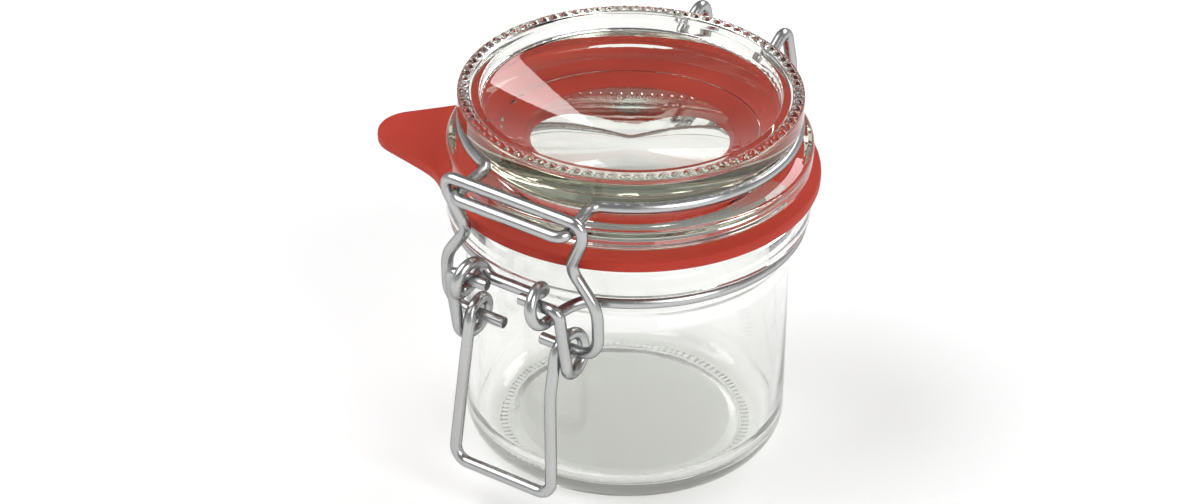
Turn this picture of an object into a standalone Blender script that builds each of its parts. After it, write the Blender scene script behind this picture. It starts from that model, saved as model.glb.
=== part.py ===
"""Clip top jar: glass jar and lid, rubber gasket, and a wire clamp that shuts the lid.

The front, where the lever hangs, faces -Y. The lid hinges at the back, at +Y. Sizes are in
millimetres here and become metres when a mesh or curve is made.
"""
import math

import bmesh
import bpy
from mathutils import Quaternion, Vector

MM = 0.001

# Jar glass
BODY_R = 34.0
HEEL_R = 6.0
WALL = 2.7
FLOOR = 4.2
BEAD_R = 35.2
BEAD_Z = 49.6
GROOVE_R = 34.75
GROOVE_TOP_Z = 53.9
FLANGE_R = 38.2
JAR_TOP_Z = 61.7
NECK_INNER_R = 30.0
NECK_END_Z = 46.9

# Gasket, a flat ring with a pull tab
GASKET_OUTER_R = 39.85
GASKET_INNER_R = 30.2
GASKET_Z = 62.0
GASKET_THICK = 1.9
TAB_ANGLE = math.radians(199.5)
TAB_REACH = 54.5
TAB_TIP_R = 8.1
TAB_TAPER = math.radians(31)
TAB_BLEND = 1.3

# Lid glass
LID_UNDER_Z = 64.2
LID_SEAT_R = 34.6
LID_FLANGE_R = 38.15
LID_FLANGE_LOW_Z = 66.3
LID_FLANGE_TOP_Z = 70.0
WAIST_R = 33.25
WAIST_LOW_Z = 71.8
WAIST_TOP_Z = 76.1
RIM_R = 35.8
LID_TOP_Z = 81.6
RING_FLAT_Z = 80.9
RECESS_R = 31.1
DISH_R = 30.5
DISH_EDGE_Z = 77.7
DISH_DROP = 8.8
DISH_POWER = 1.42
UNDER_R = 29.6
UNDER_EDGE_Z = 65.0
UNDER_SAG = 0.9
UNDER_POWER = 3.6

# Wire, one gauge throughout
WIRE_R = 1.25
NECK_RING_R = 36.3
NECK_RING_Z = 52.4
LID_RING_R = 34.8
LID_RING_Z = 73.9

# Points in the YZ plane, written as distance to the front and height
LEVER_AXIS = (44.9, 55.1)
CLAMP_AXIS = (38.1, 42.3)
HINGE_AXIS = (-44.0, 54.9)
KEEPER = (43.9, 71.9)
CLAMP_BAR = (42.0, 75.2)

# Neck wire
FRONT_EYE_R = 3.7
FRONT_EYE_X = (10.2, 7.6)
FRONT_BAR = (41.4, 54.6)
BACK_EYE_R = 2.9
BACK_EYE_X = (7.4, 4.2)

# Lever
LEVER_PIN_END_X = 4.0
CRANK_X = 13.5
ARM_X = 10.7
HANDLE_X = 12.3
LOOP_CENTRE = (37.9, 41.3)
LOOP_R = 4.1
ARM_KNEE = (43.6, 32.9)
HANDLE = (45.1, 9.9)

# Clamp bail
CLAMP_PIN_END_X = 4.6
CLAMP_LEG_X = 18.7
CLAMP_WAIST_X = 12.6
CLAMP_TOP_X = 16.6
CLAMP_KNEE = (38.8, 54.4)
CLAMP_WAIST = (39.8, 62.9)
CLAMP_SHOULDER = (41.4, 71.4)

# Lid wire
KEEPER_X = 13.6
HINGE_ARM_X = 10.4
HINGE_PIN_END_X = 2.6
HUMP = (-43.3, 79.7)
HINGE_ARM_BOW = (-46.2, 69.0)

GLASS_STEPS = 48
ARC_STEP = math.radians(24)


def clear_scene():
    """Remove every object in the file."""
    for obj in list(bpy.data.objects):
        bpy.data.objects.remove(obj, do_unlink=True)


def material(name, colour, roughness, metallic=0.0, transmission=0.0):
    """Return a Principled BSDF material."""
    mat = bpy.data.materials.new(name)
    mat.use_nodes = True
    bsdf = mat.node_tree.nodes["Principled BSDF"]
    bsdf.inputs["Base Color"].default_value = (*colour, 1.0)
    bsdf.inputs["Roughness"].default_value = roughness
    bsdf.inputs["Metallic"].default_value = metallic
    bsdf.inputs["Transmission Weight"].default_value = transmission
    return mat


def front(x, point):
    """Return a position from x and a (front distance, height) pair."""
    return Vector((x, -point[0], point[1]))


def add_object(name, data, mat, collection, parent):
    """Link a new object that rides on its parent without moving."""
    obj = bpy.data.objects.new(name, data)
    obj.data.materials.append(mat)
    collection.objects.link(obj)
    obj.parent = parent
    obj.matrix_parent_inverse = parent.matrix_world.inverted()
    return obj


def add_pivot(name, position, collection, parent=None):
    """Add an empty on a joint's axis."""
    pivot = bpy.data.objects.new(name, None)
    pivot.empty_display_size = 0.01
    pivot.location = Vector(position) * MM
    collection.objects.link(pivot)
    if parent:
        pivot.parent = parent
        pivot.matrix_parent_inverse = parent.matrix_world.inverted()
    bpy.context.view_layer.update()
    return pivot


def arc(centre, radius, start, end, steps):
    """Return points on an arc in a radius and height plane, angles in degrees."""
    points = []
    for i in range(steps + 1):
        a = math.radians(start + (end - start) * i / steps)
        points.append((centre[0] + radius * math.cos(a), centre[1] + radius * math.sin(a)))
    return points


def turned(name, profile, mat, collection, parent):
    """Turn a profile of (radius, height) points about Z with a Screw modifier."""
    mesh = bpy.data.meshes.new(name)
    verts = [(r * MM, 0.0, z * MM) for r, z in profile]
    edges = [(i, i + 1) for i in range(len(verts) - 1)]
    mesh.from_pydata(verts, edges, [])
    obj = add_object(name, mesh, mat, collection, parent)
    screw = obj.modifiers.new("turn", "SCREW")
    screw.axis = "Z"
    screw.steps = GLASS_STEPS
    screw.render_steps = GLASS_STEPS
    screw.use_merge_vertices = True
    screw.merge_threshold = 0.00001
    screw.use_smooth_shade = False
    return obj


def jar_profile():
    """Inside floor, inside wall, rim, then down the outside to the base."""
    inner_r = BODY_R - WALL
    inner_heel = 6.0
    pts = [(0.0, FLOOR)]
    pts += arc((inner_r - inner_heel, FLOOR + inner_heel), inner_heel, -90, 0, 4)
    pts += [(inner_r, NECK_END_Z - 4.5), (inner_r - 0.4, NECK_END_Z - 2.0)]
    pts += [(NECK_INNER_R, NECK_END_Z), (NECK_INNER_R, JAR_TOP_Z - 1.0)]
    pts += [(NECK_INNER_R + 0.9, JAR_TOP_Z)]
    pts += arc((FLANGE_R - 0.9, JAR_TOP_Z - 0.9), 0.9, 90, 0, 2)
    pts += [(FLANGE_R, GROOVE_TOP_Z + 1.2), (FLANGE_R - 0.7, GROOVE_TOP_Z + 0.1)]
    pts += [(GROOVE_R, GROOVE_TOP_Z - 0.1), (GROOVE_R, BEAD_Z + 1.4)]
    pts += [(BEAD_R, BEAD_Z + 0.7), (BEAD_R, BEAD_Z - 0.5), (BODY_R, BEAD_Z - 2.2)]
    pts += arc((BODY_R - HEEL_R, HEEL_R), HEEL_R, 0, -90, 4)
    pts += [(0.0, 0.0)]
    return pts


def lid_profile():
    """Dish, stacking ring, waist for the wire, flange, then the sagging underside."""
    pts = []
    for i in range(7):
        t = i / 6
        pts.append((DISH_R * t, DISH_EDGE_Z - DISH_DROP * (1 - t ** DISH_POWER)))
    pts += [(RECESS_R, RING_FLAT_Z)]
    pts += [(RIM_R - 2.6, RING_FLAT_Z + 0.1), (RIM_R - 1.2, LID_TOP_Z), (RIM_R, LID_TOP_Z - 1.1)]
    pts += [(RIM_R, WAIST_TOP_Z + 0.9), (RIM_R - 0.8, WAIST_TOP_Z + 0.2)]
    pts += [(WAIST_R, WAIST_TOP_Z - 0.3), (WAIST_R, WAIST_LOW_Z + 0.4)]
    pts += [(LID_FLANGE_R - 1.5, LID_FLANGE_TOP_Z + 0.8), (LID_FLANGE_R, LID_FLANGE_TOP_Z)]
    pts += [(LID_FLANGE_R, LID_FLANGE_LOW_Z), (LID_FLANGE_R - 1.2, LID_FLANGE_LOW_Z - 1.3)]
    pts += [(LID_SEAT_R, LID_UNDER_Z), (UNDER_R + 0.4, LID_UNDER_Z)]
    for i in range(6):
        t = 1 - i / 5
        pts.append((UNDER_R * t, UNDER_EDGE_Z - UNDER_SAG * (1 - t ** UNDER_POWER)))
    return pts


def gasket_radius(turn):
    """Outer radius at an angle from the tab: its round tip, or a flank that eases into the ring."""
    turn = abs(turn)
    tip_centre = TAB_REACH - TAB_TIP_R
    normal = math.pi / 2 - TAB_TAPER
    tip = math.atan2(TAB_TIP_R * math.sin(normal), tip_centre + TAB_TIP_R * math.cos(normal))
    if turn < tip:
        across = tip_centre * math.sin(turn)
        return tip_centre * math.cos(turn) + math.sqrt(TAB_TIP_R ** 2 - across ** 2)
    if turn > math.radians(60):
        return GASKET_OUTER_R
    flank = (tip_centre * math.cos(normal) + TAB_TIP_R) / math.cos(normal - turn)
    return GASKET_OUTER_R + TAB_BLEND * math.log1p(math.exp((flank - GASKET_OUTER_R) / TAB_BLEND))


def gasket_mesh():
    """Flat ring with its tab, closed all round."""
    turns = [math.radians(a) for a in range(-180, 180, 6)]
    turns += [math.radians(a) for a in (-27, -21, -15, -9, -4, -2, 2, 4, 9, 15, 21, 27)]
    turns.sort()
    mesh = bmesh.new()
    rows = []
    for turn in turns:
        angle = TAB_ANGLE + turn
        unit = Vector((math.cos(angle), math.sin(angle), 0.0))
        row = []
        for radius, z in (
            (GASKET_INNER_R, GASKET_Z),
            (gasket_radius(turn), GASKET_Z),
            (gasket_radius(turn), GASKET_Z + GASKET_THICK),
            (GASKET_INNER_R, GASKET_Z + GASKET_THICK),
        ):
            row.append(mesh.verts.new((unit * radius + Vector((0, 0, z))) * MM))
        rows.append(row)
    for i, row in enumerate(rows):
        after = rows[(i + 1) % len(rows)]
        for j in range(4):
            k = (j + 1) % 4
            mesh.faces.new((row[j], after[j], after[k], row[k]))
    bmesh.ops.recalc_face_normals(mesh, faces=mesh.faces)
    data = bpy.data.meshes.new("gasket")
    mesh.to_mesh(data)
    mesh.free()
    return data


def bend(points, radii):
    """Round the inner corners of a line of points, as a wire bender does."""
    route = [points[0]]
    for i in range(1, len(points) - 1):
        corner = points[i]
        back = (points[i - 1] - corner).normalized()
        ahead = (points[i + 1] - corner).normalized()
        half = back.angle(ahead) / 2
        turn = math.pi - 2 * half
        if turn < math.radians(2):
            route.append(corner)
            continue
        reach = radii[i - 1] / math.tan(half)
        centre = corner + (back + ahead).normalized() * (radii[i - 1] / math.sin(half))
        start = corner + back * reach - centre
        end = corner + ahead * reach - centre
        steps = max(2, math.ceil(turn / ARC_STEP))
        for j in range(steps + 1):
            route.append(centre + Quaternion(start.cross(end), turn * j / steps) @ start)
    route.append(points[-1])
    return route


def ring(radius, height, start, end, steps):
    """Points on a level ring, angles in degrees from the front towards +X."""
    route = []
    for i in range(steps + 1):
        a = math.radians(start + (end - start) * i / steps)
        route.append(Vector((radius * math.sin(a), -radius * math.cos(a), height)))
    return route


def ring_heading(angle):
    """Direction along a ring towards the front, at an angle in degrees."""
    a = math.radians(angle)
    return Vector((-math.cos(a), -math.sin(a), 0.0))


def coil(axis, radius, x_range, start, end, steps):
    """Points on a helix about an X axis, angles in degrees from the front upwards."""
    route = []
    for i in range(steps + 1):
        t = i / steps
        a = math.radians(start + (end - start) * t)
        x = x_range[0] + (x_range[1] - x_range[0]) * t
        route.append(front(x, (axis[0] + radius * math.cos(a), axis[1] + radius * math.sin(a))))
    return route


def ease(start, start_way, end, end_way, steps=5):
    """Inner points of a smooth curve between two wire ends."""
    route = []
    for i in range(1, steps):
        t = i / steps
        p = start * (2 * t ** 3 - 3 * t ** 2 + 1) + end * (3 * t ** 2 - 2 * t ** 3)
        p += start_way * (t ** 3 - 2 * t ** 2 + t) + end_way * (t ** 3 - t ** 2)
        route.append(p)
    return route


def mirrored(half):
    """Complete a route that ends on the middle plane."""
    other = [Vector((-p.x, p.y, p.z)) for p in half[:-1]]
    return half + other[::-1]


def wire(name, route, mat, collection, parent):
    """Make a capped round wire along a route."""
    curve = bpy.data.curves.new(name, "CURVE")
    curve.dimensions = "3D"
    curve.bevel_depth = WIRE_R * MM
    curve.bevel_resolution = 2
    curve.use_fill_caps = True
    spline = curve.splines.new("POLY")
    spline.points.add(len(route) - 1)
    for point, position in zip(spline.points, route):
        point.co = (*(position * MM), 1.0)
    return add_object(name, curve, mat, collection, parent)


def neck_wire_route():
    """Back eye, ring in the jar's groove, front eye, then the bar that joins the eyes."""
    eye = coil(HINGE_AXIS, BACK_EYE_R, BACK_EYE_X[::-1], -130, 270, 18)
    back_ring = ring(NECK_RING_R, NECK_RING_Z, 152, 24, 24)
    half = list(eye)
    half += ease(eye[-1], Vector((0, -14, 0)), back_ring[0], ring_heading(152) * 14)
    half += back_ring
    front_eye = coil(LEVER_AXIS, FRONT_EYE_R, FRONT_EYE_X, -90, 150, 11)
    half += ease(back_ring[-1], ring_heading(24) * 12, front_eye[0], Vector((0, -13, 0)))
    half += front_eye
    bar_start = front(4.6, FRONT_BAR)
    half += ease(front_eye[-1], Vector((-1.5, 2, -3.5)), bar_start, Vector((-4, 0, 0)), 4)
    half += [bar_start, front(0, FRONT_BAR)]
    return mirrored(half)


def lid_wire_route():
    """Hinge pin, arm up to the hump, ring in the lid's waist, then out to the keeper bar."""
    back_ring = ring(LID_RING_R, LID_RING_Z, 155, 27, 22)
    corner = back_ring[0] - ring_heading(155) * 4.4
    points = [front(HINGE_PIN_END_X, HINGE_AXIS), front(HINGE_ARM_X, HINGE_AXIS)]
    points += [front(HINGE_ARM_X, HINGE_ARM_BOW), front(HINGE_ARM_X, HUMP), corner, back_ring[0]]
    half = bend(points, [2.2, 9.0, 2.3, 3.6])
    half += back_ring[1:]
    leave = back_ring[-1]
    root = leave + ring_heading(27) * 3.4
    half = half[:-1]
    half += bend([leave, root, front(KEEPER_X, KEEPER), front(0, KEEPER)], [3.2, 2.2])
    return mirrored(half)


def lever_route():
    """Pin in the eye, crank, one turn round the clamp pin, arm, then the handle bar."""
    half = bend(
        [front(LEVER_PIN_END_X, LEVER_AXIS), front(CRANK_X, LEVER_AXIS), loop_point(-11.5, CRANK_X)],
        [1.9],
    )[:-1]
    steps = 17
    for i in range(steps + 1):
        t = i / steps
        half.append(loop_point(-11.5 - 336.5 * t, CRANK_X + (ARM_X - CRANK_X) * t))
    half += bend([half[-1], front(ARM_X, ARM_KNEE), front(HANDLE_X, HANDLE), front(0, HANDLE)], [25.0, 3.2])[1:]
    return mirrored(half)


def loop_point(angle, x):
    """Point on the lever's loop, angle in degrees from the front upwards."""
    a = math.radians(angle)
    return front(x, (LOOP_CENTRE[0] + LOOP_R * math.cos(a), LOOP_CENTRE[1] + LOOP_R * math.sin(a)))


def clamp_route():
    """Pin in the lever's loop, leg with its waist, then the bar over the keeper."""
    points = [
        front(CLAMP_PIN_END_X, CLAMP_AXIS),
        front(CLAMP_LEG_X, CLAMP_AXIS),
        front(CLAMP_LEG_X, CLAMP_KNEE),
        front(CLAMP_WAIST_X, CLAMP_WAIST),
        front(CLAMP_TOP_X, CLAMP_SHOULDER),
        front(CLAMP_TOP_X, CLAMP_BAR),
        front(0, CLAMP_BAR),
    ]
    return mirrored(bend(points, [2.6, 4.0, 3.0, 5.0, 2.2]))


def main():
    clear_scene()
    parts = bpy.data.collections.new("clip_top_jar")
    bpy.context.scene.collection.children.link(parts)

    glass = material("glass", (0.93, 0.95, 0.93), 0.02, transmission=1.0)
    lid_glass = material("lid_glass", (0.9, 0.93, 0.88), 0.02, transmission=1.0)
    steel = material("steel", (0.66, 0.66, 0.65), 0.28, metallic=1.0)
    rubber = material("rubber", (0.68, 0.07, 0.035), 0.55)

    jar_pivot = add_pivot("jar_base", (0, 0, 0), parts)
    lid_pivot = add_pivot("lid_hinge_axis", front(0, HINGE_AXIS), parts, jar_pivot)
    lever_pivot = add_pivot("lever_axis", front(0, LEVER_AXIS), parts, jar_pivot)
    clamp_pivot = add_pivot("clamp_axis", front(0, CLAMP_AXIS), parts, lever_pivot)

    turned("jar_glass", jar_profile(), glass, parts, jar_pivot)
    wire("neck_wire", neck_wire_route(), steel, parts, jar_pivot)
    turned("lid_glass", lid_profile(), lid_glass, parts, lid_pivot)
    add_object("gasket", gasket_mesh(), rubber, parts, lid_pivot)
    wire("lid_wire", lid_wire_route(), steel, parts, lid_pivot)
    wire("lever", lever_route(), steel, parts, lever_pivot)
    wire("clamp", clamp_route(), steel, parts, clamp_pivot)


main()
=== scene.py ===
"""Clip top jar: a small glass jar with a hinged glass lid, a rubber gasket and a wire clamp.

Run it as a script in Blender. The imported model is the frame; every piece here is worked out with
numpy in metres, in that frame. The front, where the lever hangs, faces -Y, and the lid hinges at +Y.
"""
import math

import bpy
import numpy as np
from bpy.props import FloatProperty, FloatVectorProperty, IntProperty, PointerProperty
from bpy.types import Operator, Panel, PropertyGroup
from mathutils import Matrix, Vector


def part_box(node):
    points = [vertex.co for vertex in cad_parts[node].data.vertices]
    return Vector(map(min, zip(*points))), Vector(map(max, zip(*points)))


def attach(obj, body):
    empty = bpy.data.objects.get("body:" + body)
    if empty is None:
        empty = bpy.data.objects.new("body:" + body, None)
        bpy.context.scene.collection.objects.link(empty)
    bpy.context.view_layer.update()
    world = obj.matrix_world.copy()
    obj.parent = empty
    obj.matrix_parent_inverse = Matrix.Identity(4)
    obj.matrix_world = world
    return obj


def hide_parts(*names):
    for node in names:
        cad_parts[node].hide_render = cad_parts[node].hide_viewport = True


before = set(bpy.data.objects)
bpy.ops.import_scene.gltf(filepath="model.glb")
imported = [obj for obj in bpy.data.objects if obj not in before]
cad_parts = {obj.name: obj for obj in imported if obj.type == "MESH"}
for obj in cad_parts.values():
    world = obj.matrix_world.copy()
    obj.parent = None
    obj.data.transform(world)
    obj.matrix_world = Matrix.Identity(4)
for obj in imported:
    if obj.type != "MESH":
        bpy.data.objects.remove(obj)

bl_info = {
    "name": "Clip Top Jar",
    "version": (1, 0, 0),
    "blender": (4, 5, 0),
    "location": "View3D > Sidebar > Clip Top Jar",
    "description": "Builds a glass jar with a hinged glass lid, a rubber gasket and a wire clamp",
    "category": "Add Mesh",
}

MM = 0.001
TAU = 2 * math.pi
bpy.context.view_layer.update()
IMAGE_WIDTH = 1200
SENSOR_WIDTH = 36.0

# Heights of the CAD nodes, which the finer pieces keep
JAR_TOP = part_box("jar_glass")[1][2]
LID_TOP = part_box("lid_glass")[1][2]
LID_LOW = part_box("lid_glass")[0][2]
GASKET_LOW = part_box("gasket")[0][2]
GASKET_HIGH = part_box("gasket")[1][2]

# Wire centres in the YZ plane, as (distance to the front, height) in millimetres
LEVER_AXIS = (44.9, 55.1)
CLAMP_AXIS = (38.1, 42.3)
HINGE_AXIS = (-44.0, 54.9)
KEEPER = (43.9, 71.9)
CLAMP_BAR = (42.0, 75.2)
FRONT_BAR = (41.4, 54.6)
LOOP_CENTRE = (37.9, 41.3)
ARM_KNEE = (43.6, 32.9)
HANDLE = (45.1, 9.9)
CLAMP_KNEE = (38.8, 54.4)
CLAMP_WAIST = (39.8, 62.9)
CLAMP_SHOULDER = (41.4, 71.4)
HUMP = (-43.3, 79.7)
HINGE_ARM_BOW = (-46.2, 69.0)

# The lid's underside in millimetres: its radius, its height above the flange's lowest edge, and the
# power of its sag, which the rubber below it follows
UNDER_RADIUS = 29.6
UNDER_RISE = 0.8
UNDER_POWER = 3.6


# Shapes


def rounded(corners, radii, step=math.radians(9)):
    """Line through corners, each rounded by its radius.

    At a corner the two straight sides meet at an angle; a circle of the given radius touches both,
    and its short arc from one touching point to the other replaces the corner.
    """
    corners = [np.array(c, float) for c in corners]
    out = [corners[0]]
    for before, corner, after, radius in zip(corners, corners[1:], corners[2:], radii):
        back = before - corner
        back /= np.linalg.norm(back)
        ahead = after - corner
        ahead /= np.linalg.norm(ahead)
        half = math.acos(np.clip(back @ ahead, -1, 1)) / 2
        turn = math.pi - 2 * half
        if radius <= 0 or turn < math.radians(1):
            out.append(corner)
            continue
        middle = back + ahead
        middle /= np.linalg.norm(middle)
        centre = corner + middle * radius / math.sin(half)
        start = corner + back * radius / math.tan(half) - centre
        end = corner + ahead * radius / math.tan(half) - centre
        count = max(3, math.ceil(turn / step))
        t = np.linspace(0, 1, count + 1)[:, None]
        out.extend(centre + (np.sin((1 - t) * turn) * start + np.sin(t * turn) * end) / math.sin(turn))
    out.append(corners[-1])
    return np.array(out)


def flat_points(pairs):
    """(radius, height) pairs as points in the XZ plane."""
    return [(pair[0], 0.0, pair[1]) for pair in pairs]


def held_straight(profile, longest, margin=0.12):
    """Add points on a profile's straight runs, close to both ends and no further apart than longest."""
    rows = [profile[:1]]
    for a, b in zip(profile[:-1], profile[1:]):
        length = np.linalg.norm(b - a)
        if length < 4 * margin:
            rows.append(b[None])
            continue
        count = max(2, math.ceil(length / longest) + 1)
        t = np.append(np.linspace(margin / length, 1 - margin / length, count), 1.0)[:, None]
        rows.append(a + (b - a) * t)
    return np.concatenate(rows)


def grid_mesh(name, points, wrap_rows=False, poles=False):
    """Mesh from a grid of points, rows by columns, with one quad between each four neighbours.

    The columns join back to their start, and the rows too where wrap_rows is true. With poles, the
    first and last rows are each one point on the axis, with a fan of triangles round it.
    """
    rows, columns = points.shape[:2]
    inner = points[1:-1] if poles else points
    count = len(inner)
    verts = inner.reshape(-1, 3)
    r, c = (g.ravel() for g in np.meshgrid(
        np.arange(count if wrap_rows else count - 1), np.arange(columns), indexing="ij"))
    r2, c2 = (r + 1) % count, (c + 1) % columns
    faces = np.stack([r * columns + c, r2 * columns + c, r2 * columns + c2, r * columns + c2], 1)
    loops, sizes = [faces.ravel()], [np.full(len(faces), 4)]
    if poles:
        around = np.arange(columns)
        following = (around + 1) % columns
        last = (count - 1) * columns
        verts = np.concatenate([verts, points[0, :1], points[-1, :1]])
        first_pole = np.full(columns, count * columns)
        loops.append(np.stack([first_pole, around, following], 1).ravel())
        loops.append(np.stack([first_pole + 1, last + following, last + around], 1).ravel())
        sizes.append(np.full(2 * columns, 3))
    return whole_mesh(name, verts, np.concatenate(loops), np.concatenate(sizes))


def whole_mesh(name, verts, loops, sizes):
    """Mesh from whole arrays: corner positions, the corners of all faces in a row, and face sizes."""
    mesh = bpy.data.meshes.new(name)
    mesh.vertices.add(len(verts))
    mesh.vertices.foreach_set("co", np.asarray(verts, np.float32).ravel())
    mesh.loops.add(len(loops))
    mesh.loops.foreach_set("vertex_index", loops.astype(np.int32))
    mesh.polygons.add(len(sizes))
    starts = np.concatenate([[0], np.cumsum(sizes)[:-1]])
    mesh.polygons.foreach_set("loop_start", starts.astype(np.int32))
    mesh.polygons.foreach_set("use_smooth", np.ones(len(sizes), bool))
    mesh.update(calc_edges=True)
    if mesh.validate():
        raise RuntimeError(f"{name} has faulty faces")
    return mesh


def turned(name, profile, columns, shift):
    """Surface of revolution about Z: x = r cos a, y = r sin a, z = height.

    The profile runs over the top of the solid from the axis, down its outside and back to the axis
    underneath, so the faces point outwards. shift takes grids of radius, height and angle, and
    returns the radius and height changed.
    """
    angle = np.linspace(0, TAU, columns, endpoint=False)
    radius = np.repeat(profile[:, :1], columns, 1)
    height = np.repeat(profile[:, 1:], columns, 1)
    angle = np.broadcast_to(angle, radius.shape)
    radius, height = shift(radius, height, angle)
    points = np.stack([radius * np.cos(angle), radius * np.sin(angle), height], -1)
    return grid_mesh(name, points, poles=True)


def round_cap(distance, width):
    """Round cap: one at distance nought, falling as sqrt(1 - (d / w)^2) to nought at the width."""
    return np.sqrt(np.clip(1 - (distance / width) ** 2, 0, None))


# Wire routes, in millimetres


def at_front(x, point):
    """Position from x and a (distance to the front, height) pair."""
    return np.array([x, -point[0], point[1]], float)


def level_ring(radius, height, start, end, count=140):
    """Arc of a level circle, angles in degrees from the front towards +X."""
    a = np.radians(np.linspace(start, end, count))
    return np.stack([radius * np.sin(a), -radius * np.cos(a), np.full(count, height)], 1)


def ring_heading(angle):
    """Unit direction along a level ring towards the front, at an angle in degrees."""
    a = math.radians(angle)
    return np.array([-math.cos(a), -math.sin(a), 0.0])


def coil(axis, radius, x_ends, start, end, count):
    """Helix about an X axis: the angle and x both grow evenly, angles in degrees from the front up."""
    t = np.linspace(0, 1, count)
    a = np.radians(start + (end - start) * t)
    x = x_ends[0] + (x_ends[1] - x_ends[0]) * t
    return np.stack([x, -(axis[0] + radius * np.cos(a)), axis[1] + radius * np.sin(a)], 1)


def ease(start, start_way, end, end_way, count=16):
    """Cubic Hermite curve between two wire ends with the given directions, without its end points."""
    t = np.linspace(0, 1, count)[1:-1, None]
    return (
        start * (2 * t ** 3 - 3 * t ** 2 + 1) + end * (3 * t ** 2 - 2 * t ** 3)
        + start_way * (t ** 3 - 2 * t ** 2 + t) + end_way * (t ** 3 - t ** 2)
    )


def mirrored(half):
    """A route that ends on the middle plane, completed by its mirror image in X."""
    other = half[:-1][::-1] * (-1, 1, 1)
    return np.concatenate([half, other])


def evenly(route, step=0.45):
    """Route resampled at even spacing along its length by linear interpolation."""
    length = np.concatenate([[0], np.cumsum(np.linalg.norm(np.diff(route, axis=0), axis=1))])
    keep = np.append(True, np.diff(length) > 1e-6)
    s = np.linspace(0, length[-1], max(4, int(length[-1] / step)))
    return np.stack([np.interp(s, length[keep], route[keep, k]) for k in range(3)], 1)


def neck_wire_route():
    """Back eye, ring in the jar's groove, front eye, then the bar that joins the eyes."""
    ring_start, ring_end = 152, 24
    eye = coil(HINGE_AXIS, 2.9, (4.2, 7.4), -130, 270, 60)
    ring = level_ring(36.3, 52.4, ring_start, ring_end)
    front_eye = coil(LEVER_AXIS, 3.7, (10.2, 7.6), -90, 150, 40)
    bar_start = at_front(4.6, FRONT_BAR)
    half = [
        eye, ease(eye[-1], np.array([0, -14, 0]), ring[0], ring_heading(ring_start) * 14), ring,
        ease(ring[-1], ring_heading(ring_end) * 12, front_eye[0], np.array([0, -13, 0])), front_eye,
        ease(front_eye[-1], np.array([-1.5, 2, -3.5]), bar_start, np.array([-4, 0, 0])),
        bar_start[None], at_front(0, FRONT_BAR)[None],
    ]
    return mirrored(np.concatenate(half))


def lid_wire_route():
    """Hinge pin, arm up to the hump, ring in the lid's waist, then out to the keeper bar."""
    ring_start, ring_end, arm_x = 155, 27, 10.4
    ring = level_ring(34.8, 73.9, ring_start, ring_end)
    back = rounded(
        [at_front(2.6, HINGE_AXIS), at_front(arm_x, HINGE_AXIS), at_front(arm_x, HINGE_ARM_BOW),
         at_front(arm_x, HUMP), ring[0] - ring_heading(ring_start) * 4.4, ring[0]],
        [2.2, 9.0, 2.3, 3.6])
    keeper = rounded(
        [ring[-1], ring[-1] + ring_heading(ring_end) * 3.4, at_front(13.6, KEEPER),
         at_front(0, KEEPER)], [3.2, 2.2])
    return mirrored(np.concatenate([back[:-1], ring[:-1], keeper]))


def lever_route():
    """Pin in the eye, crank, one turn round the clamp's pin, arm, then the handle bar."""
    crank_x, arm_x = 13.5, 10.7
    loop = coil(LOOP_CENTRE, 4.1, (crank_x, arm_x), -11.5, -348.0, 70)
    crank = rounded([at_front(4.0, LEVER_AXIS), at_front(crank_x, LEVER_AXIS), loop[0]], [1.9])
    arm = rounded(
        [loop[-1], at_front(arm_x, ARM_KNEE), at_front(12.3, HANDLE), at_front(0, HANDLE)], [25.0, 3.2])
    return mirrored(np.concatenate([crank[:-1], loop[:-1], arm]))


def clamp_route():
    """Pin in the lever's loop, leg with its waist, then the bar over the keeper."""
    leg_x, waist_x, top_x = 18.7, 12.6, 16.6
    return mirrored(rounded(
        [at_front(4.6, CLAMP_AXIS), at_front(leg_x, CLAMP_AXIS), at_front(leg_x, CLAMP_KNEE),
         at_front(waist_x, CLAMP_WAIST), at_front(top_x, CLAMP_SHOULDER), at_front(top_x, CLAMP_BAR),
         at_front(0, CLAMP_BAR)],
        [5.0, 9.0, 4.5, 5.0, 2.2]))


def carried_frames(route):
    """Tangent, normal and binormal at each station, turned as little as possible along the route.

    The small rotation from each tangent to the next is R = 1 + [v] + [v][v] / (1 + c), with v the
    cross product and c the cosine; running products of all of them, made by doubling strides, carry
    the first normal along.
    """
    tangent = np.gradient(route, axis=0)
    tangent /= np.linalg.norm(tangent, axis=1)[:, None]
    v = np.cross(tangent[:-1], tangent[1:])
    c = np.einsum("ij,ij->i", tangent[:-1], tangent[1:])
    skew = np.zeros((len(v), 3, 3))
    skew[:, 0, 1], skew[:, 0, 2], skew[:, 1, 2] = -v[:, 2], v[:, 1], -v[:, 0]
    skew -= skew.transpose(0, 2, 1)
    turn = np.eye(3) + skew + skew @ skew / (1 + c)[:, None, None]
    turn = np.concatenate([np.eye(3)[None], turn])
    stride = 1
    while stride < len(turn):
        turn[stride:] = turn[stride:] @ turn[:-stride].copy()
        stride *= 2
    side = np.array([0.0, 0.0, 1.0]) if abs(tangent[0][2]) < 0.9 else np.array([0.0, 1.0, 0.0])
    first = np.cross(tangent[0], side)
    normal = turn @ (first / np.linalg.norm(first))
    return tangent, normal, np.cross(tangent, normal)


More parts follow.
